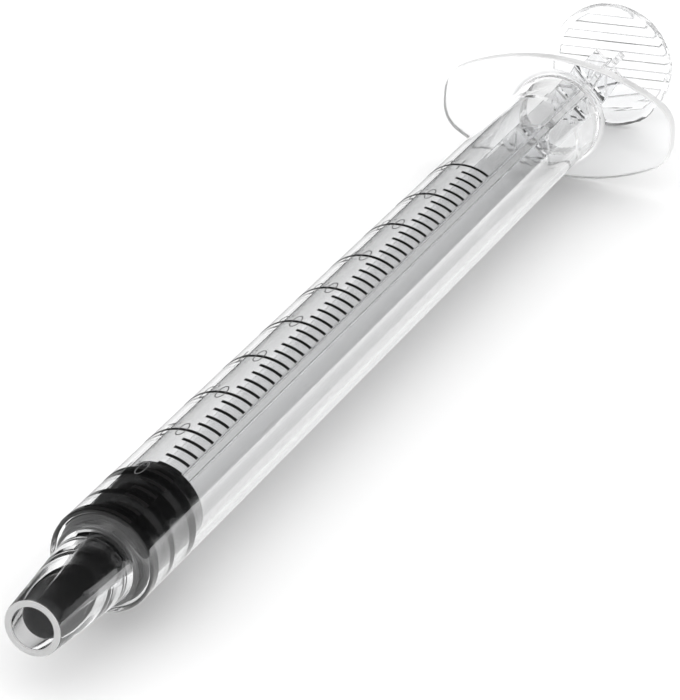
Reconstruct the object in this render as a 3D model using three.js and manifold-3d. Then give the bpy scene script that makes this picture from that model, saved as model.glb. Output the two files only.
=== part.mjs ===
// A slim 1 mL oral syringe lying on a surface, with its plunger pushed fully in.
// Three mouldings: a clear barrel, a black rubber stopper and a clear plunger rod.
// Millimetres, +Z up. The barrel's axis runs along +Y, from the tip to the thumb disc.
// The origin is under the middle of the syringe, on the surface that it lies on.

import * as THREE from 'three';
import { mergeVertices } from 'three/addons/utils/BufferGeometryUtils.js';
import Module from 'manifold-3d';

const wasm = await Module();
wasm.setup();

// Driving dimensions. Places along the axis (names ending in _Y) are measured from the
// zero line of the scale, towards the thumb disc.

const ROUND_STEPS = 48; // facets around the barrel, the stopper and the thumb disc
const SMALL_STEPS = 32; // facets around the rod's head and its socket

// The scale: 1 mL in a 5.03 mm bore takes 50.3 mm.
const BORE_R = 2.515;
const BARREL_R = 2.94;

const TIP_MOUTH_Y = -8.17;
const TIP_MOUTH_R = 1.58;
const TIP_MOUTH_BORE_R = 1.18;
const TIP_BASE_R = 2.18;
const TIP_BASE_BORE_R = 1.5;
const TIP_RIM_ROUND = 0.1;

const SHOULDER_Y = -0.79; // the barrel's front face, around the tip
const SHOULDER_ROUND = 0.7;
const SHOULDER_WALL = 0.6; // from the front face to the bore's front end

const FLANGE_FRONT_Y = 66.73;
const FLANGE_THICKNESS = 0.79;
const FLANGE_HALF_LENGTH = 7.86;
const FLANGE_HALF_WIDTH = 4.04;
const FLANGE_SIDE_R = 13.9; // radius of the two long sides
const FLANGE_CORNER_R = 2.1;
const FLANGE_FILLET_R = 0.44; // between the barrel and the flange's front face
const BORE_LEAD_IN = 0.17; // chamfer at the bore's open end

const STOP_RING_Y = 63.4; // a low bead in the bore that keeps the stopper in
const STOP_RING_R = 2.49;
const STOP_RING_HALF_WIDTH = 0.6;

const STOPPER_FRONT_Y = -0.1;
const STOPPER_REAR_Y = 6.59;
const STOPPER_RIB_R = 2.465;
const STOPPER_WAIST_R = 2.27;
const STOPPER_REAR_R = 2.4;
const STOPPER_RIBS = [[-0.1, 0.79], [2.09, 2.74], [4.44, 5.33]]; // front and rear of each
const STOPPER_RIB_SLOPE = 0.22; // length of the slope at each side of a rib
const NOSE_FRONT_Y = -7.12;
const NOSE_FRONT_R = 1.13;
const NOSE_BASE_R = 1.4;
const NOSE_ROUND = 0.13;

const SOCKET_FRONT_Y = 2.8;
const SOCKET_R = 1.09;
const SOCKET_NECK_Y = 5.4;
const SOCKET_NECK_R = 0.74;
const FIT = 0.1; // clearance between the rod's head and the socket, all round

const ROD_FRONT_Y = STOPPER_REAR_Y + FIT;
const RIB_R = 1.4; // from the rod's axis to the edge of each rib
const RIB_EDGE_THICKNESS = 0.44; // the ribs taper outwards
const RIB_ROOT_THICKNESS = 0.56;
const WEB_YS = [61.75, 68.82, 72.84]; // webs between the ribs, near the thumb end
const WEB_THICKNESS = 0.45;
const RIB_ANGLE = 45; // the ribs stand diagonally to the thumb ridges
const PLUNGER_TURN = 4.5; // the plunger turns freely, and it lies turned by this angle

const THUMB_FRONT_Y = 76.86;
const THUMB_THICKNESS = 0.87;
const THUMB_R = 4.19;
const THUMB_EDGE_ROUND = 0.26;
const RIDGE_COUNT = 6;
const RIDGE_PITCH = 1.205;
const RIDGE_WIDTH = 0.65;
const RIDGE_HEIGHT = 0.22;
const RIDGE_FIELD_R = 3.75; // the ridges end on a circle

const THUMB_REAR_Y = THUMB_FRONT_Y + THUMB_THICKNESS;
const MIDDLE_Y = (TIP_MOUTH_Y + THUMB_REAR_Y + RIDGE_HEIGHT) / 2;
const SUNK = 0.25; // how far joined shapes run into each other

const point = (radius, y) => new THREE.Vector2(radius, y);

const radians = (degrees) => THREE.MathUtils.degToRad(degrees);

// Points on a round corner, between two angles in degrees, where 0 is away from the axis.
function corner(centreR, centreY, radius, from, to, steps) {
  const points = [];
  for (let step = 0; step <= steps; step += 1) {
    const angle = radians(from + ((to - from) * step) / steps);
    points.push(point(centreR + radius * Math.cos(angle), centreY + radius * Math.sin(angle)));
  }
  return points;
}

// A closed mesh as a solid that can be joined and cut.
function solid(geometry) {
  const bare = geometry.index ? geometry.toNonIndexed() : geometry.clone();
  bare.deleteAttribute('normal');
  bare.deleteAttribute('uv');
  const merged = mergeVertices(bare, 1e-5);
  return new wasm.Manifold(
    new wasm.Mesh({
      numProp: 3,
      vertProperties: new Float32Array(merged.attributes.position.array),
      triVerts: new Uint32Array(merged.index.array),
    }),
  );
}

// A round solid. The outline is listed anticlockwise with the radius to the right and y up.
function turned(outline, steps) {
  const geometry = new THREE.LatheGeometry(outline, steps);
  return solid(geometry);
}

// A flat outline, in x and z, made into a plate that runs from y to y + thickness.
function plate(outline, y, thickness, curveSteps = 12) {
  const geometry = new THREE.ExtrudeGeometry(outline, {
    depth: thickness,
    bevelEnabled: false,
    curveSegments: curveSteps,
  });
  geometry.rotateX(-Math.PI / 2);
  geometry.translate(0, y, 0);
  return solid(geometry);
}

function part(name, shape, material) {
  const mesh = shape.getMesh();
  const geometry = new THREE.BufferGeometry();
  geometry.setAttribute('position', new THREE.BufferAttribute(mesh.vertProperties, 3));
  geometry.setIndex(new THREE.BufferAttribute(mesh.triVerts, 1));
  geometry.computeVertexNormals();
  const made = new THREE.Mesh(geometry, material);
  made.name = name;
  return made;
}

// The barrel

function barrelTube() {
  const rearY = FLANGE_FRONT_Y + FLANGE_THICKNESS;
  const boreFrontY = SHOULDER_Y + SHOULDER_WALL;
  const mouth = corner(
    TIP_MOUTH_R - TIP_RIM_ROUND, TIP_MOUTH_Y + TIP_RIM_ROUND, TIP_RIM_ROUND, -90, 0, 3,
  );
  const shoulder = corner(
    BARREL_R - SHOULDER_ROUND, SHOULDER_Y + SHOULDER_ROUND, SHOULDER_ROUND, -90, 0, 6,
  );
  const fillet = corner(
    BARREL_R + FLANGE_FILLET_R, FLANGE_FRONT_Y - FLANGE_FILLET_R, FLANGE_FILLET_R, 180, 90, 4,
  );
  return turned([
    point(TIP_MOUTH_BORE_R, TIP_MOUTH_Y),
    ...mouth,
    point(TIP_BASE_R, SHOULDER_Y),
    ...shoulder,
    ...fillet,
    point(BARREL_R + FLANGE_FILLET_R, rearY),
    point(BORE_R + BORE_LEAD_IN, rearY),
    point(BORE_R, rearY - BORE_LEAD_IN),
    point(BORE_R, STOP_RING_Y + STOP_RING_HALF_WIDTH),
    point(STOP_RING_R, STOP_RING_Y),
    point(BORE_R, STOP_RING_Y - STOP_RING_HALF_WIDTH),
    point(BORE_R, boreFrontY),
    point(TIP_BASE_BORE_R, boreFrontY),
    point(TIP_MOUTH_BORE_R, TIP_MOUTH_Y),
  ], ROUND_STEPS);
}

// The flange's outline: two short ends on a circle about the axis, two long sides on wider
// circles, and four round corners that touch both.
function flangeOutline() {
  const sideDrop = FLANGE_SIDE_R - FLANGE_HALF_WIDTH;
  const toEnd = FLANGE_HALF_LENGTH - FLANGE_CORNER_R;
  const toSide = FLANGE_SIDE_R - FLANGE_CORNER_R;
  const cornerY = (toSide ** 2 - toEnd ** 2 - sideDrop ** 2) / (2 * sideDrop);
  const cornerX = Math.sqrt(toEnd ** 2 - cornerY ** 2);
  const endAngle = Math.atan2(cornerY, cornerX);
  const sideAngle = Math.atan2(cornerY + sideDrop, cornerX);
  const outline = new THREE.Shape();
  for (const turn of [0, Math.PI]) {
    const flip = turn === 0 ? 1 : -1;
    outline.absarc(0, 0, FLANGE_HALF_LENGTH, turn - endAngle, turn + endAngle);
    outline.absarc(
      flip * cornerX, flip * cornerY, FLANGE_CORNER_R, turn + endAngle, turn + sideAngle,
    );
    outline.absarc(
      0, -flip * sideDrop, FLANGE_SIDE_R, turn + sideAngle, turn + Math.PI - sideAngle,
    );
    outline.absarc(
      -flip * cornerX, flip * cornerY, FLANGE_CORNER_R,
      turn + Math.PI - sideAngle, turn + Math.PI - endAngle,
    );
  }
  return outline;
}

function flangePlate() {
  const outline = flangeOutline();
  const hole = new THREE.Path();
  hole.absarc(0, 0, BARREL_R, 0, 2 * Math.PI, true);
  outline.holes.push(hole);
  return plate(outline, FLANGE_FRONT_Y, FLANGE_THICKNESS, 10);
}

function barrel() {
  return barrelTube().add(flangePlate());
}

// The stopper

// The sealing ribs, with waists between them. The first starts at the stopper's front.
function stopperRibs() {
  const last = STOPPER_RIBS.length - 1;
  const points = [];
  STOPPER_RIBS.forEach(([frontY, rearY], index) => {
    if (index > 0) {
      points.push(point(STOPPER_WAIST_R, frontY - STOPPER_RIB_SLOPE));
    }
    points.push(point(STOPPER_RIB_R, frontY), point(STOPPER_RIB_R, rearY));
    const behindR = index < last ? STOPPER_WAIST_R : STOPPER_REAR_R;
    points.push(point(behindR, rearY + STOPPER_RIB_SLOPE));
  });
  return points;
}

function stopper() {
  const nose = corner(
    NOSE_FRONT_R - NOSE_ROUND, NOSE_FRONT_Y + NOSE_ROUND, NOSE_ROUND, -90, 0, 3,
  );
  const rear = corner(
    STOPPER_REAR_R - NOSE_ROUND, STOPPER_REAR_Y - NOSE_ROUND, NOSE_ROUND, 0, 90, 3,
  );
  return turned([
    point(0, NOSE_FRONT_Y),
    ...nose,
    point(NOSE_BASE_R, STOPPER_FRONT_Y),
    ...stopperRibs(),
    ...rear,
    point(SOCKET_NECK_R, STOPPER_REAR_Y),
    point(SOCKET_NECK_R, SOCKET_NECK_Y),
    point(SOCKET_R, SOCKET_NECK_Y),
    point(SOCKET_R, SOCKET_FRONT_Y),
    point(0, SOCKET_FRONT_Y),
  ], ROUND_STEPS);
}

// The plunger rod

// The knob that snaps into the stopper's socket, and the neck behind it.
function rodHead() {
  const knobR = SOCKET_R - FIT;
  const neckR = SOCKET_NECK_R - FIT;
  const knobRearY = SOCKET_NECK_Y - FIT;
  const knobFrontY = SOCKET_FRONT_Y + FIT;
  return turned([
    point(0, knobFrontY),
    point(neckR, knobFrontY),
    point(knobR, (knobFrontY + knobRearY) / 2),
    point(knobR, knobRearY),
    point(neckR, knobRearY),
    point(neckR, ROD_FRONT_Y + SUNK),
    point(0, ROD_FRONT_Y + SUNK),
  ], SMALL_STEPS);
}

// A flat outline with the same corners in each quarter turn.
function fourfold(corners) {
  const axis = point(0, 0);
  const points = [];
  for (let quarter = 0; quarter < 4; quarter += 1) {
    const turn = (quarter * Math.PI) / 2;
    points.push(...corners.map((place) => place.clone().rotateAround(axis, turn)));
  }
  return new THREE.Shape(points);
}

// The four ribs along the rod, and the webs that join their edges.
function ribsAndWebs() {
  const edge = RIB_EDGE_THICKNESS / 2;
  const root = RIB_ROOT_THICKNESS / 2;
  const edgeCorners = [point(RIB_R, -edge), point(RIB_R, edge)];
  const ribs = fourfold([...edgeCorners, point(root, root)]);
  const web = fourfold(edgeCorners);
  let shape = plate(ribs, ROD_FRONT_Y, THUMB_FRONT_Y + SUNK - ROD_FRONT_Y);
  for (const y of WEB_YS) {
    shape = shape.add(plate(web, y - WEB_THICKNESS / 2, WEB_THICKNESS));
  }
  return shape;
}

function thumbDisc() {
  const inner = THUMB_R - THUMB_EDGE_ROUND;
  return turned([
    point(0, THUMB_FRONT_Y),
    ...corner(inner, THUMB_FRONT_Y + THUMB_EDGE_ROUND, THUMB_EDGE_ROUND, -90, 0, 3),
    ...corner(inner, THUMB_REAR_Y - THUMB_EDGE_ROUND, THUMB_EDGE_ROUND, 0, 90, 3),
    point(0, THUMB_REAR_Y),
  ], ROUND_STEPS);
}

// One grip ridge: a straight bar whose ends follow a circle about the axis.
function ridge(offset) {
  const low = Math.asin((offset - RIDGE_WIDTH / 2) / RIDGE_FIELD_R);
  const high = Math.asin((offset + RIDGE_WIDTH / 2) / RIDGE_FIELD_R);
  const outline = new THREE.Shape();
  outline.absarc(0, 0, RIDGE_FIELD_R, low, high);
  outline.absarc(0, 0, RIDGE_FIELD_R, Math.PI - high, Math.PI - low);
  return plate(outline, THUMB_REAR_Y - SUNK, RIDGE_HEIGHT + SUNK, 6);
}

function plungerRod() {
  let rod = ribsAndWebs().add(rodHead());
  rod = rod.rotate([0, -RIB_ANGLE, 0]);
  rod = rod.add(thumbDisc());
  for (let index = 0; index < RIDGE_COUNT; index += 1) {
    rod = rod.add(ridge((index - (RIDGE_COUNT - 1) / 2) * RIDGE_PITCH));
  }
  return rod.rotate([0, -PLUNGER_TURN, 0]);
}

// Materials

const clearPlastic = new THREE.MeshStandardMaterial({
  color: 0xe6ebf0, roughness: 0.08, metalness: 0, transparent: true, opacity: 0.35,
});
const rodPlastic = new THREE.MeshStandardMaterial({
  color: 0xd6dde6, roughness: 0.12, metalness: 0, transparent: true, opacity: 0.5,
});
const blackRubber = new THREE.MeshStandardMaterial({
  color: 0x0c0c0d, roughness: 0.55, metalness: 0,
});

// The assembly: every part shares the barrel's axis.

const syringe = new THREE.Group();
syringe.position.set(0, -MIDDLE_Y, THUMB_R);
syringe.add(
  part('barrel', barrel(), clearPlastic),
  part('stopper', stopper(), blackRubber),
  part('plunger_rod', plungerRod(), rodPlastic),
);

export default syringe;
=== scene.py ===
"""The looks of a slim 1 mL oral syringe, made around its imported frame.

Shapes are worked out in millimetres, with y measured along the syringe's axis from the zero line of
the scale, and x and z measured from that axis. to_frame() turns them into metres in the part's frame.
A bearing is an angle about the axis, from +X towards +Z. The named bearings are in degrees.
"""

import math

import bmesh
import bpy
from mathutils import Euler, Matrix, Vector


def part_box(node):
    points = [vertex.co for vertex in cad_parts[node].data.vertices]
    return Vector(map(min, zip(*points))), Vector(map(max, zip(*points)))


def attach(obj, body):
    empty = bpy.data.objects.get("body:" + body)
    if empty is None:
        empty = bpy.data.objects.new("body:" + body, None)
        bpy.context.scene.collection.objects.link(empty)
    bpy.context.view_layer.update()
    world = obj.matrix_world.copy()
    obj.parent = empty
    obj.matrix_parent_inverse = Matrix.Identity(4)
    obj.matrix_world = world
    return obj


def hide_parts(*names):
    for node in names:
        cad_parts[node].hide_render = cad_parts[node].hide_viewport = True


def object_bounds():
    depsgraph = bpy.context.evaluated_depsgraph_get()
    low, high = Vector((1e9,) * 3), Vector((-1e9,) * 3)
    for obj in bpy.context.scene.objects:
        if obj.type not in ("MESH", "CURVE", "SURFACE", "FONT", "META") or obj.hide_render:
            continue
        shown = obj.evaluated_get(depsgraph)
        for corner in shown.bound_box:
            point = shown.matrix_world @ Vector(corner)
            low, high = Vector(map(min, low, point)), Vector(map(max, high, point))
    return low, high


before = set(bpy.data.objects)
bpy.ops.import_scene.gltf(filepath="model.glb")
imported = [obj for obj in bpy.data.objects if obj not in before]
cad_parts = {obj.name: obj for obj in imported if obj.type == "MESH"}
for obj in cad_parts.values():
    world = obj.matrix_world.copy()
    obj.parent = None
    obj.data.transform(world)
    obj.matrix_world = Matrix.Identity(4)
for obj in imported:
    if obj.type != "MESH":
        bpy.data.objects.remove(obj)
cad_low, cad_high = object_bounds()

MM = 0.001

# Places that come from the frame

ZERO_FROM_TIP = 8.17  # from the tip's mouth to the scale's zero line

barrel_low, barrel_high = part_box("barrel")
stopper_low, stopper_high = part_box("stopper")
rod_low, rod_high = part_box("plunger_rod")

AXIS_Z = (barrel_low.z + barrel_high.z) / 2
ZERO_Y = barrel_low.y + ZERO_FROM_TIP * MM


def along(y):
    """A place on the frame's Y axis, as millimetres from the zero line."""
    return (y - ZERO_Y) / MM


def to_frame(x, y, z):
    """A place in millimetres from the axis and the zero line, as metres in the frame."""
    return Vector((x * MM, ZERO_Y + y * MM, AXIS_Z + z * MM))


# The barrel

BORE_R = 2.515
BARREL_R = 2.94
TIP_MOUTH_Y = along(barrel_low.y)
TIP_MOUTH_R = 1.58
TIP_MOUTH_BORE_R = 1.18
MATT_RIM_DEPTH = 0.08  # the mouth's rim is matt this far back
TIP_BASE_R = 2.18
TIP_BASE_BORE_R = 1.5
SHOULDER_Y = -0.79
SHOULDER_ROUND = 0.7
BORE_FRONT_Y = -0.19
STOP_RING_Y = 63.4  # a low bead, which keeps the stopper from leaving the barrel
STOP_RING_R = 2.49
STOP_RING_HALF_WIDTH = 0.6
BORE_LEAD_IN = 0.17  # the chamfer at the rear of the bore

FLANGE_THICKNESS = 0.79
FLANGE_REAR_Y = along(barrel_high.y)
FLANGE_FRONT_Y = FLANGE_REAR_Y - FLANGE_THICKNESS
FLANGE_HALF_LENGTH = (barrel_high.x - barrel_low.x) / 2 / MM
FLANGE_HALF_WIDTH = (barrel_high.z - barrel_low.z) / 2 / MM
FLANGE_SIDE_R = 13.9
FLANGE_CORNER_R = 2.1
FLANGE_EDGE_ROUND = 0.12
FLANGE_FILLET_R = 0.44
FLAT_FACE = 0.9  # a face is one of the flange's flat ones if its normal lies this much along Y

# The stopper

STOPPER_FRONT_Y = -0.1
STOPPER_REAR_Y = along(stopper_high.y)
STOPPER_RIB_R = 2.517  # pressed against the bore
STOPPER_WAIST_R = 2.27
STOPPER_REAR_R = 2.4
STOPPER_RIBS = [(STOPPER_FRONT_Y, 0.79), (2.09, 2.74), (4.44, 5.33)]  # from front to rear
RIB_SLOPE = 0.22
NOSE_FRONT_Y = along(stopper_low.y)
NOSE_FRONT_R = 1.13
NOSE_BASE_R = 1.4
SOCKET_FRONT_Y = 2.8
SOCKET_R = 1.09
SOCKET_NECK_Y = 5.4
SOCKET_NECK_R = 0.74
STOPPER_STEPS = 160

# The plunger rod

HEAD_CLEARANCE = 0.1  # between the rod and the stopper
HEAD_FRONT_CLEARANCE = 0.15
HEAD_RIM_WIDTH = 1.2  # along the axis, where the head is widest
NECK_REACH = 0.4  # how far the head's neck goes into the cross
CROSS_FRONT_Y = STOPPER_REAR_Y + HEAD_CLEARANCE
CROSS_R = 1.4
CROSS_TIP_THICKNESS = 0.44
CROSS_ROOT_THICKNESS = 0.56
CROSS_TIP_ROUND = 0.04
CROSS_ROOT_ROUND = 0.06
CROSS_BEARING = 49.5
RIB_COUNT = 4
WEB_YS = [61.75, 68.82, 72.84]
WEB_THICKNESS = 0.45
WEB_INSET = 0.03  # how far the webs stay inside the edges of the ribs
THUMB_R = (rod_high.z - rod_low.z) / 2 / MM
THUMB_THICKNESS = 0.87
RIDGE_HEIGHT = 0.22
RIDGE_TOP_Y = along(rod_high.y)
THUMB_REAR_Y = RIDGE_TOP_Y - RIDGE_HEIGHT
THUMB_FRONT_Y = THUMB_REAR_Y - THUMB_THICKNESS
THUMB_EDGE_ROUND = 0.26
THUMB_OVERLAP = 0.25  # how far the cross and the ridges go into the thumb disc
RIDGE_COUNT = 6
RIDGE_PITCH = 1.205
RIDGE_WIDTH = 0.65
RIDGE_ROUND = 0.18
RIDGE_FIELD_R = 3.75
RIDGE_BEARING = 4.5
RIDGE_END_STEPS = 12
ROD_STEPS = 192
ROD_SHARP_EDGE = 2.5  # degrees: small, so that the rod's flat faces stay flat

# The printed scale

SCALE_INTERVALS = 50
SCALE_STEP = 1.006  # 0.02 mL in this bore
MAJOR_EVERY = 5
LINE_WIDTH = 0.28
LINE_STEP = 2  # degrees around the barrel
INK_LIFT = 0.002  # keeps the ink's underside off the barrel
INK_THICKNESS = 0.01
LINE_START_BEARING = 58.4
MINOR_END_BEARING = 86.0
MAJOR_END_BEARING = 146.0
NUMBER_BEARING = 88.5
NUMBER_HEIGHT = 1.7
NUMBER_NARROWING = 0.55
NUMBER_THINNING = 0.055
NUMBER_STRIP = 0.1  # the numbers are cut into strips of this width, so that they can bend
DIGIT_HEIGHT = 0.7  # in the font, for a size of 1
DIGIT_CURVE_STEPS = 4

ARC_STEPS = 6  # in every rounded edge


# Mesh building


def rounded(corners):
    """An open outline, in which each (r, y, round) corner is cut to an arc of that radius."""
    points = []
    for index, (r, y, size) in enumerate(corners):
        here = Vector((r, y))
        if size == 0 or index in (0, len(corners) - 1):
            points.append(here)
            continue
        before = Vector(corners[index - 1][:2]) - here
        after = Vector(corners[index + 1][:2]) - here
        before.normalize()
        after.normalize()
        half = before.angle(after) / 2
        centre = here + (before + after).normalized() * (size / math.sin(half))
        start = here + before * (size / math.tan(half)) - centre
        end = here + after * (size / math.tan(half)) - centre
        turn = start.angle_signed(end)
        for step in range(ARC_STEPS + 1):
            share = Matrix.Rotation(-turn * step / ARC_STEPS, 2)
            points.append(centre + share @ start)
    return points


def rounded_loop(corners):
    """A closed outline, rounded in the same way at every corner."""
    return rounded([corners[-1], *corners, corners[0]])[1:-1]


def edge_arc(size):
    """The (inset, depth) steps of a rounded edge, from the side to the face."""
    arc = []
    for step in range(ARC_STEPS + 1):
        angle = math.pi / 2 * step / ARC_STEPS
        arc.append((size * (1 - math.cos(angle)), size * (1 - math.sin(angle))))
    return arc


def circle(radius):
    """A radius function, as rings take it, for a round ring."""
    return lambda bearing: radius


def ring_points(radius_at, y, bearings):
    return [
        to_frame(radius_at(b) * math.cos(b), y, radius_at(b) * math.sin(b)) for b in bearings
    ]


def add_strip(mesh, one, other):
    """Quads, or triangles at a point on the axis, between two rings of vertices."""
    count = max(len(one), len(other))
    for index in range(count):
        after = (index + 1) % count
        corners = [one[index % len(one)], one[after % len(one)]]
        corners += [other[after % len(other)], other[index % len(other)]]
        mesh.faces.new(list(dict.fromkeys(corners)))


def rings_to_object(name, rings, bearings, joined=False):
    """A solid of rings (radius function, y). It closes on the axis, or on its first ring if joined."""
    mesh = bmesh.new()
    made = []
    for radius_at, y in rings:
        if radius_at(0) == 0:
            made.append([mesh.verts.new(to_frame(0, y, 0))])
        else:
            made.append([mesh.verts.new(p) for p in ring_points(radius_at, y, bearings)])
    pairs = list(zip(made, made[1:]))
    if joined:
        pairs.append((made[-1], made[0]))
    for one, other in pairs:
        add_strip(mesh, one, other)
    return finish_mesh(name, mesh)


def turned(name, outline, steps):
    """A round solid from an outline of (r, y) points that starts and ends on the axis."""
    bearings = [2 * math.pi * step / steps for step in range(steps)]
    return rings_to_object(name, [(circle(r), y) for r, y in outline], bearings)


def layered(name, layers):
    """A solid of (y, outline) layers, closed by its first and its last outline of (x, z) points."""
    mesh = bmesh.new()
    made = []
    for y, outline in layers:
        made.append([mesh.verts.new(to_frame(p.x, y, p.y)) for p in outline])
    for one, other in zip(made, made[1:]):
        add_strip(mesh, one, other)
    mesh.faces.new(made[0])
    mesh.faces.new(made[-1])
    return finish_mesh(name, mesh)


def finish_mesh(name, mesh):
    """Turns a bmesh into an object of the scene."""
    bmesh.ops.recalc_face_normals(mesh, faces=mesh.faces)
    data = bpy.data.meshes.new(name)
    mesh.to_mesh(data)
    mesh.free()
    made = bpy.data.objects.new(name, data)
    bpy.context.scene.collection.objects.link(made)
    return made


def smooth(piece, sharp_degrees=35):
    """Smooth shading, but not across edges that turn by more than sharp_degrees."""
    piece.data.shade_smooth()
    piece.data.set_sharp_from_angle(angle=math.radians(sharp_degrees))
    weighted = piece.modifiers.new("weighted_normals", "WEIGHTED_NORMAL")
    weighted.keep_sharp = True


def united(name, shapes):
    """One closed solid from several that overlap."""
    base = shapes[0]
    for other in shapes[1:]:
        join = base.modifiers.new("join", "BOOLEAN")
        join.operation = "UNION"
        join.solver = "EXACT"
        join.object = other
        evaluated = base.evaluated_get(bpy.context.evaluated_depsgraph_get())
        data = bpy.data.meshes.new_from_object(evaluated)
        base.modifiers.clear()
        base.data = data
        bpy.data.objects.remove(other)
    base.name = name
    base.data.name = name
    return base


# The barrel


def flange_outline(inset):
    """The flange's edge as a radius for each bearing: short arcs at the ends, long ones at the
    sides, and round corners between them, all moved inwards by inset."""
    drop = FLANGE_SIDE_R - FLANGE_HALF_WIDTH
    to_end = FLANGE_HALF_LENGTH - FLANGE_CORNER_R
    to_side = FLANGE_SIDE_R - FLANGE_CORNER_R
    corner_z = (to_side**2 - to_end**2 - drop**2) / (2 * drop)
    corner_x = math.sqrt(to_end**2 - corner_z**2)
    corner_r = FLANGE_CORNER_R - inset
    side_angle = math.atan2(corner_z + drop, corner_x)
    end_bearing = math.atan2(corner_z, corner_x)
    side_bearing = math.atan2(
        corner_z + corner_r * math.sin(side_angle), corner_x + corner_r * math.cos(side_angle)
    )

    def to_circle(bearing, x, z, radius):
        """How far along the bearing a circle is left."""
        middle = x * math.cos(bearing) + z * math.sin(bearing)
        return middle + math.sqrt(middle**2 - x**2 - z**2 + radius**2)

    def radius_at(bearing):
        first_quarter = math.asin(min(1, abs(math.sin(bearing))))
        if first_quarter <= end_bearing:
            return FLANGE_HALF_LENGTH - inset
        if first_quarter < side_bearing:
            return to_circle(first_quarter, corner_x, corner_z, corner_r)
        return to_circle(first_quarter, 0, -drop, FLANGE_SIDE_R - inset)

    return radius_at


def flange_bearings():
    """Even steps, and finer ones where the flange's corners are."""
    coarse, fine = 1.5, 0.375
    corner_from, corner_to = 9, 16.5
    degrees = [coarse * step for step in range(round(360 / coarse))]
    for step in range(round((corner_to - corner_from) / fine) + 1):
        bearing = corner_from + fine * step
        degrees += [bearing, 180 - bearing, 180 + bearing, 360 - bearing]
    return [math.radians(bearing) for bearing in sorted(set(degrees))]


def flange_edge():
    """The rings of the flange's edge, rounded at the front and at the rear."""
    arc = edge_arc(FLANGE_EDGE_ROUND)
    front = [(flange_outline(inset), FLANGE_FRONT_Y + depth) for inset, depth in reversed(arc)]
    rear = [(flange_outline(inset), FLANGE_REAR_Y - depth) for inset, depth in arc]
    return front + rear


def barrel_rings():
    """Rings along the outside to the flange, over its edge, and back along the inside."""
    outside = rounded([
        (TIP_MOUTH_BORE_R, TIP_MOUTH_Y, 0),
        (TIP_MOUTH_R, TIP_MOUTH_Y, 0.15),
        (TIP_BASE_R, SHOULDER_Y, 0.25),
        (BARREL_R, SHOULDER_Y, SHOULDER_ROUND),
        (BARREL_R, FLANGE_FRONT_Y, FLANGE_FILLET_R),
        (FLANGE_HALF_WIDTH, FLANGE_FRONT_Y, 0),
    ])[1:-1]
    inside = rounded([
        (FLANGE_HALF_WIDTH, FLANGE_REAR_Y, 0),
        (BORE_R + BORE_LEAD_IN, FLANGE_REAR_Y, 0.1),
        (BORE_R, FLANGE_REAR_Y - BORE_LEAD_IN, 0.1),
        (BORE_R, STOP_RING_Y + STOP_RING_HALF_WIDTH, 0.1),
        (STOP_RING_R, STOP_RING_Y, 0.25),
        (BORE_R, STOP_RING_Y - STOP_RING_HALF_WIDTH, 0.1),
        (BORE_R, BORE_FRONT_Y, 0.25),
        (TIP_BASE_BORE_R, BORE_FRONT_Y, 0.2),
        (TIP_MOUTH_BORE_R, TIP_MOUTH_Y, 0.12),
        (TIP_MOUTH_R, TIP_MOUTH_Y, 0),
    ])[1:-1]
    rings = [(circle(r), y) for r, y in outside]
    rings += flange_edge()
    rings += [(circle(r), y) for r, y in inside]
    return rings


def make_barrel():
    barrel = rings_to_object("barrel_clear", barrel_rings(), flange_bearings(), joined=True)
    smooth(barrel)
    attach(barrel, "barrel")
    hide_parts("barrel")
    return barrel


# The stopper


def stopper_corners():
    """The stopper's outline: nose, sealing ribs, flat rear end and socket."""
    corners = [
        (0, NOSE_FRONT_Y, 0),
        (NOSE_FRONT_R, NOSE_FRONT_Y, 0.2),
        (NOSE_BASE_R, STOPPER_FRONT_Y, 0.1),
    ]
    for index, (front, rear) in enumerate(STOPPER_RIBS):
        if index > 0:
            corners.append((STOPPER_WAIST_R, front - RIB_SLOPE, 0.1))
        corners.append((STOPPER_RIB_R, front, 0.15))
        corners.append((STOPPER_RIB_R, rear, 0.15))
        behind = STOPPER_WAIST_R if index < len(STOPPER_RIBS) - 1 else STOPPER_REAR_R
        corners.append((behind, rear + RIB_SLOPE, 0.1))
    corners += [
        (STOPPER_REAR_R, STOPPER_REAR_Y, 0.1),
        (SOCKET_NECK_R, STOPPER_REAR_Y, 0.1),
        (SOCKET_NECK_R, SOCKET_NECK_Y, 0.1),
        (SOCKET_R, SOCKET_NECK_Y, 0.1),
        (SOCKET_R, SOCKET_FRONT_Y, 0.2),
        (0, SOCKET_FRONT_Y, 0),
    ]
    return corners


def make_stopper():
    stopper = turned("stopper_rubber", rounded(stopper_corners()), STOPPER_STEPS)
    smooth(stopper)
    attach(stopper, "stopper")
    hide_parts("stopper")
    return stopper


# The plunger rod


def on_every_rib(corners):
    """Corners of one rib (distance from the axis, place across the rib), as (x, z) on all ribs."""
    placed = []
    for rib in range(RIB_COUNT):
        turn = Matrix.Rotation(math.radians(CROSS_BEARING) - rib * 2 * math.pi / RIB_COUNT, 2)
        placed += [turn @ Vector(corner) for corner in corners]
    return placed


def make_cross():
    """The four crossed ribs, from the stopper to the thumb disc."""
    tip = CROSS_TIP_THICKNESS / 2
    root = CROSS_ROOT_THICKNESS / 2
    places = on_every_rib([(CROSS_R, tip), (CROSS_R, -tip), (root, -root)])
    rounds = [CROSS_TIP_ROUND, CROSS_TIP_ROUND, CROSS_ROOT_ROUND] * RIB_COUNT
    outline = rounded_loop([(place.x, place.y, size) for place, size in zip(places, rounds)])
    return layered("cross", [(CROSS_FRONT_Y, outline), (THUMB_FRONT_Y + THUMB_OVERLAP, outline)])


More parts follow.
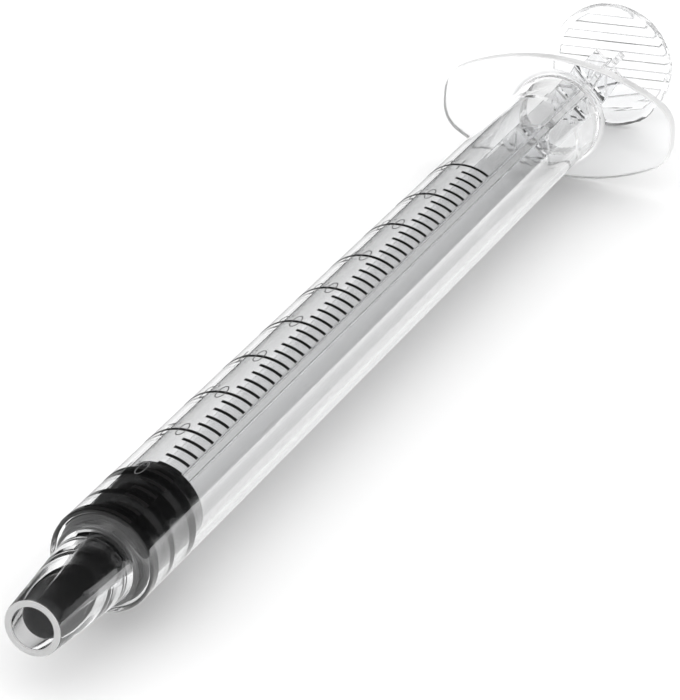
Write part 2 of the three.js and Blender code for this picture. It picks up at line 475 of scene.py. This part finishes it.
def make_web(y):
    """A thin plate that joins the edges of the four ribs."""
    edge = CROSS_TIP_THICKNESS / 2
    reach = CROSS_R - WEB_INSET
    outline = on_every_rib([(reach, edge), (reach, -edge)])
    return layered("web", [(y - WEB_THICKNESS / 2, outline), (y + WEB_THICKNESS / 2, outline)])


def make_head():
    """The knob that snaps into the stopper's socket, with the neck behind it."""
    knob = SOCKET_R - HEAD_CLEARANCE
    neck = SOCKET_NECK_R - HEAD_CLEARANCE
    front = SOCKET_FRONT_Y + HEAD_FRONT_CLEARANCE
    rear = SOCKET_NECK_Y - HEAD_CLEARANCE
    return turned("head", rounded([
        (0, front, 0),
        (neck, front, 0.2),
        (knob, rear - HEAD_RIM_WIDTH, 0.2),
        (knob, rear, 0.15),
        (neck, rear, 0.1),
        (neck, CROSS_FRONT_Y + NECK_REACH, 0),
        (0, CROSS_FRONT_Y + NECK_REACH, 0),
    ]), ROD_STEPS)


def make_thumb_disc():
    return turned("thumb_disc", rounded([
        (0, THUMB_FRONT_Y, 0),
        (THUMB_R, THUMB_FRONT_Y, THUMB_EDGE_ROUND),
        (THUMB_R, THUMB_REAR_Y, THUMB_EDGE_ROUND),
        (0, THUMB_REAR_Y, 0),
    ]), ROD_STEPS)


def ridge_outline(offset, inset):
    """A straight bar whose ends follow a circle about the axis, as (x, z) points."""
    reach = RIDGE_FIELD_R - inset
    half = RIDGE_WIDTH / 2 - inset
    low = math.asin((offset - half) / reach)
    high = math.asin((offset + half) / reach)
    shares = [step / RIDGE_END_STEPS for step in range(RIDGE_END_STEPS + 1)]
    right = [low + (high - low) * share for share in shares]
    left = [math.pi - bearing for bearing in reversed(right)]
    turn = math.radians(RIDGE_BEARING)
    return [
        Vector((reach * math.cos(bearing + turn), reach * math.sin(bearing + turn)))
        for bearing in right + left
    ]


def make_ridge(offset):
    """One grip bar with its top edge rounded."""
    layers = [(THUMB_REAR_Y - THUMB_OVERLAP, ridge_outline(offset, 0))]
    for inset, depth in edge_arc(RIDGE_ROUND):
        layers.append((RIDGE_TOP_Y - depth, ridge_outline(offset, inset)))
    return layered("ridge", layers)


def make_rod():
    shapes = [make_cross(), make_head()]
    shapes += [make_web(y) for y in WEB_YS]
    shapes += [make_thumb_disc()]
    middle = (RIDGE_COUNT - 1) / 2
    shapes += [make_ridge((index - middle) * RIDGE_PITCH) for index in range(RIDGE_COUNT)]
    rod = united("plunger_rod_clear", shapes)
    smooth(rod, ROD_SHARP_EDGE)
    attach(rod, "plunger_rod")
    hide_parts("plunger_rod")
    return rod


# The printed scale


def on_barrel(bearing, y, lift):
    """A place in the ink, at a height of lift above its underside. The bearing is in radians."""
    radius = BARREL_R + INK_LIFT + lift
    return to_frame(radius * math.cos(bearing), y, radius * math.sin(bearing))


def add_line(mesh, y, from_degrees, to_degrees):
    """One printed line around the barrel, as a thin closed strip."""
    steps = round((to_degrees - from_degrees) / LINE_STEP)
    sections = []
    for step in range(steps + 1):
        bearing = math.radians(from_degrees + (to_degrees - from_degrees) * step / steps)
        corners = [
            (y - LINE_WIDTH / 2, 0),
            (y + LINE_WIDTH / 2, 0),
            (y + LINE_WIDTH / 2, INK_THICKNESS),
            (y - LINE_WIDTH / 2, INK_THICKNESS),
        ]
        sections.append([mesh.verts.new(on_barrel(bearing, place, up)) for place, up in corners])
    for one, other in zip(sections, sections[1:]):
        add_strip(mesh, one, other)
    mesh.faces.new(sections[0])
    mesh.faces.new(sections[-1])


def make_scale_lines():
    mesh = bmesh.new()
    for index in range(SCALE_INTERVALS + 1):
        end = MAJOR_END_BEARING if index % MAJOR_EVERY == 0 else MINOR_END_BEARING
        add_line(mesh, index * SCALE_STEP, LINE_START_BEARING, end)
    lines = finish_mesh("scale_lines", mesh)
    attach(lines, "barrel")
    return lines


def add_number(mesh, words, y):
    """Adds a number to the mesh, wrapped around the barrel, its top towards the tip."""
    curve = bpy.data.curves.new("number", "FONT")
    curve.body = words
    curve.size = NUMBER_HEIGHT / DIGIT_HEIGHT
    curve.offset = -NUMBER_THINNING
    curve.align_x = "LEFT"
    curve.resolution_u = DIGIT_CURVE_STEPS
    holder = bpy.data.objects.new("number", curve)
    bpy.context.scene.collection.objects.link(holder)
    evaluated = holder.evaluated_get(bpy.context.evaluated_depsgraph_get())
    flat = bmesh.new()
    flat.from_mesh(evaluated.to_mesh())
    bpy.data.objects.remove(holder)
    width = max(v.co.x for v in flat.verts)
    cut = NUMBER_STRIP
    while cut < width:
        everything = flat.verts[:] + flat.edges[:] + flat.faces[:]
        bmesh.ops.bisect_plane(flat, geom=everything, plane_co=(cut, 0, 0), plane_no=(1, 0, 0))
        cut += NUMBER_STRIP
    start = math.radians(NUMBER_BEARING)
    raised = bmesh.ops.extrude_face_region(flat, geom=flat.faces[:])["geom"]
    top = {v for v in raised if isinstance(v, bmesh.types.BMVert)}
    for vertex in flat.verts:
        lift = INK_THICKNESS if vertex in top else 0
        bearing = start + vertex.co.x * NUMBER_NARROWING / BARREL_R
        vertex.co = on_barrel(bearing, y + NUMBER_HEIGHT / 2 - vertex.co.y, lift)
    data = bpy.data.meshes.new("number")
    flat.to_mesh(data)
    flat.free()
    mesh.from_mesh(data)
    bpy.data.meshes.remove(data)


def make_scale_numbers():
    mesh = bmesh.new()
    for index in range(MAJOR_EVERY, SCALE_INTERVALS + 1, MAJOR_EVERY):
        add_number(mesh, f"{index / SCALE_INTERVALS:.1f}", index * SCALE_STEP)
    numbers = finish_mesh("scale_numbers", mesh)
    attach(numbers, "barrel")
    return numbers


# Materials

PLASTIC_IOR = 1.49
RUBBER_IOR = 1.5
BARREL_COLOUR = (0.99, 0.993, 0.996)
MATT_COLOUR = (0.99, 0.99, 0.99)
ROD_COLOUR = (0.99, 0.993, 0.998)
RUBBER_COLOUR = (0.005, 0.005, 0.0055)
LINE_COLOUR = (0.002, 0.002, 0.002)
NUMBER_COLOUR = (0.12, 0.12, 0.12)  # the numbers are printed thinly
MOULD_RIPPLE = 0.0005 * MM
SURFACE_GRAIN = 0.003 * MM
NOISE_DETAIL = 3


def new_material(name):
    """A node material, with its tree and its Principled shader."""
    material = bpy.data.materials.new(name)
    material.use_nodes = True
    tree = material.node_tree
    return material, tree, tree.nodes["Principled BSDF"]


def noise(tree, scale):
    coordinates = tree.nodes.new("ShaderNodeTexCoord")
    made = tree.nodes.new("ShaderNodeTexNoise")
    made.inputs["Scale"].default_value = scale
    made.inputs["Detail"].default_value = NOISE_DETAIL
    tree.links.new(coordinates.outputs["Object"], made.inputs["Vector"])
    return made


def ranged(tree, value, low, high, start=0, end=1):
    """A node that goes from low to high while the value goes from start to end."""
    made = tree.nodes.new("ShaderNodeMapRange")
    made.inputs["From Min"].default_value = start
    made.inputs["From Max"].default_value = end
    made.inputs["To Min"].default_value = low
    made.inputs["To Max"].default_value = high
    tree.links.new(value, made.inputs["Value"])
    return made


def varied_roughness(tree, shader, scale, low, high):
    roughness = ranged(tree, noise(tree, scale).outputs["Fac"], low, high)
    tree.links.new(roughness.outputs["Result"], shader.inputs["Roughness"])


def surface_bump(tree, shader, scale, height):
    source = noise(tree, scale)
    bump = tree.nodes.new("ShaderNodeBump")
    bump.inputs["Strength"].default_value = 1
    bump.inputs["Distance"].default_value = height
    tree.links.new(source.outputs["Fac"], bump.inputs["Height"])
    tree.links.new(bump.outputs["Normal"], shader.inputs["Normal"])


def clear_plastic(name, colour):
    """Moulded clear plastic: polished, with a faint ripple where it flowed in the mould."""
    material, tree, shader = new_material(name)
    shader.inputs["Base Color"].default_value = (*colour, 1)
    shader.inputs["Transmission Weight"].default_value = 1
    shader.inputs["IOR"].default_value = PLASTIC_IOR
    varied_roughness(tree, shader, scale=900, low=0, high=0.04)
    surface_bump(tree, shader, scale=400, height=MOULD_RIPPLE)
    return material


def black_rubber():
    """Smooth rubber, wetted with silicone."""
    material, tree, shader = new_material("rubber")
    shader.inputs["Base Color"].default_value = (*RUBBER_COLOUR, 1)
    shader.inputs["IOR"].default_value = RUBBER_IOR
    varied_roughness(tree, shader, scale=1500, low=0.18, high=0.3)
    surface_bump(tree, shader, scale=6000, height=SURFACE_GRAIN)
    return material


def scale_ink(name, colour):
    material, tree, shader = new_material(name)
    shader.inputs["Base Color"].default_value = (*colour, 1)
    varied_roughness(tree, shader, scale=4000, low=0.3, high=0.6)
    return material


def frosted_plastic():
    """The barrel's plastic where the mould left it matt."""
    material, tree, shader = new_material("barrel_plastic_matt")
    shader.inputs["Base Color"].default_value = (*MATT_COLOUR, 1)
    shader.inputs["Transmission Weight"].default_value = 0.6
    shader.inputs["IOR"].default_value = PLASTIC_IOR
    varied_roughness(tree, shader, scale=900, low=0.45, high=0.65)
    surface_bump(tree, shader, scale=4000, height=SURFACE_GRAIN)
    return material


def frost_edges(barrel, material):
    """Makes the rim of the mouth and the edge of the flange matt."""
    barrel.data.materials.append(material)
    matt = len(barrel.data.materials) - 1
    for face in barrel.data.polygons:
        y = along(face.center.y)
        from_axis = math.hypot(face.center.x, face.center.z - AXIS_Z) / MM
        on_rim = y < TIP_MOUTH_Y + MATT_RIM_DEPTH
        far_out = y > FLANGE_FRONT_Y and from_axis > FLANGE_HALF_WIDTH - FLANGE_EDGE_ROUND
        if on_rim or (far_out and abs(face.normal.y) < FLAT_FACE):
            face.material_index = matt


def dress(piece, material):
    """Gives a piece its one material."""
    piece.data.materials.clear()
    piece.data.materials.append(material)


# The camera, the floor and the light

CAMERA_PLACE = Vector((83.89, -211.03, 110.64)) * MM
CAMERA_AZIMUTH = 22.02
CAMERA_ELEVATION = 25.74
CAMERA_ROLL = 2.45
CAMERA_LENS = 221.0
CAMERA_NEAREST = 0.01


def make_camera():
    data = bpy.data.cameras.new("camera")
    data.lens = CAMERA_LENS
    data.clip_start = CAMERA_NEAREST
    camera = bpy.data.objects.new("camera", data)
    bpy.context.scene.collection.objects.link(camera)
    facing = Euler((math.radians(90 - CAMERA_ELEVATION), 0, math.radians(CAMERA_AZIMUTH)))
    turn = facing.to_matrix() @ Matrix.Rotation(math.radians(CAMERA_ROLL), 3, "Z")
    camera.matrix_world = Matrix.Translation(CAMERA_PLACE) @ turn.to_4x4()
    bpy.context.scene.camera = camera


FLOOR_SIZE = 6
FLOOR_COLOUR = 0.9
FLOOR_DROP = 0.02 * MM  # how far the floor is under the part
GLOW_DROP = 0.01 * MM

ROOM_LIGHT = 1.32  # the room as the floor receives it
ROOM_IN_PIECES = 0.7  # the room as it shows in and through the pieces
BACK_IN_PIECES = 0.02  # the same for the back of the room, which is dark
BACK_FROM = 0.45  # the room starts to darken where a direction has this much +Y
BACK_TO = 0.6  # and is at its darkest here

GLOW_LEFT = 0.5  # how bright the floor shows in the pieces where x is below GLOW_FROM
GLOW_RIGHT = 3.0  # and where x is above GLOW_TO
GLOW_FROM = -10 * MM
GLOW_TO = 40 * MM


def make_sheet(name, z, material):
    """A flat square that reaches far beyond the picture."""
    half = FLOOR_SIZE / 2
    corners = [(-half, -half, 0), (half, -half, 0), (half, half, 0), (-half, half, 0)]
    data = bpy.data.meshes.new(name)
    data.from_pydata(corners, [], [(0, 1, 2, 3)])
    sheet = bpy.data.objects.new(name, data)
    sheet.location.z = z
    bpy.context.scene.collection.objects.link(sheet)
    dress(sheet, material)
    return sheet


def make_floor():
    """The matt white floor that the camera sees, with the shadow on it."""
    material, tree, shader = new_material("floor")
    shader.inputs["Base Color"].default_value = (FLOOR_COLOUR, FLOOR_COLOUR, FLOOR_COLOUR, 1)
    shader.inputs["Roughness"].default_value = 1
    shader.inputs["Specular IOR Level"].default_value = 0
    make_sheet("floor", cad_low.z - FLOOR_DROP, material)


def make_floor_glow():
    """The floor as reflections see it: a lit table, brighter on the right of the syringe."""
    material, tree, shader = new_material("floor_glow")
    tree.nodes.remove(shader)
    coordinates = tree.nodes.new("ShaderNodeTexCoord")
    place = tree.nodes.new("ShaderNodeSeparateXYZ")
    tree.links.new(coordinates.outputs["Object"], place.inputs["Vector"])
    level = ranged(tree, place.outputs["X"], GLOW_LEFT, GLOW_RIGHT, GLOW_FROM, GLOW_TO)
    emission = tree.nodes.new("ShaderNodeEmission")
    tree.links.new(level.outputs["Result"], emission.inputs["Strength"])
    tree.links.new(emission.outputs["Emission"], tree.nodes["Material Output"].inputs["Surface"])
    glow = make_sheet("floor_glow", cad_low.z - GLOW_DROP, material)
    glow.visible_camera = False
    glow.visible_diffuse = False
    glow.visible_transmission = False
    glow.visible_shadow = False
    glow.visible_volume_scatter = False


def make_room():
    """A room that lights the floor evenly. In and through the pieces it is dimmer, with a dark back."""
    world = bpy.data.worlds.new("room")
    world.use_nodes = True
    tree = world.node_tree
    background = tree.nodes["Background"]
    background.inputs["Color"].default_value = (1, 1, 1, 1)
    path = tree.nodes.new("ShaderNodeLightPath")
    coordinates = tree.nodes.new("ShaderNodeTexCoord")
    direction = tree.nodes.new("ShaderNodeSeparateXYZ")
    tree.links.new(coordinates.outputs["Generated"], direction.inputs["Vector"])
    in_pieces = ranged(
        tree, direction.outputs["Y"], ROOM_IN_PIECES, BACK_IN_PIECES, BACK_FROM, BACK_TO
    )
    level = ranged(tree, path.outputs["Is Glossy Ray"], ROOM_LIGHT, ROOM_IN_PIECES)
    tree.links.new(in_pieces.outputs["Result"], level.inputs["To Max"])
    tree.links.new(level.outputs["Result"], background.inputs["Strength"])
    bpy.context.scene.world = world


LIGHT_BOUNCES = 48  # light is reflected many times inside the clear walls


def set_picture():
    scene = bpy.context.scene
    scene.view_settings.view_transform = "Standard"
    scene.view_settings.look = "None"
    scene.cycles.max_bounces = LIGHT_BOUNCES
    scene.cycles.transmission_bounces = LIGHT_BOUNCES
    scene.cycles.glossy_bounces = LIGHT_BOUNCES


make_camera()
barrel = make_barrel()
stopper = make_stopper()
rod = make_rod()
lines = make_scale_lines()
numbers = make_scale_numbers()

dress(barrel, clear_plastic("barrel_plastic", BARREL_COLOUR))
frost_edges(barrel, frosted_plastic())
dress(rod, clear_plastic("rod_plastic", ROD_COLOUR))
dress(stopper, black_rubber())
dress(lines, scale_ink("line_ink", LINE_COLOUR))
dress(numbers, scale_ink("number_ink", NUMBER_COLOUR))

make_floor()
make_floor_glow()
make_room()
set_picture()
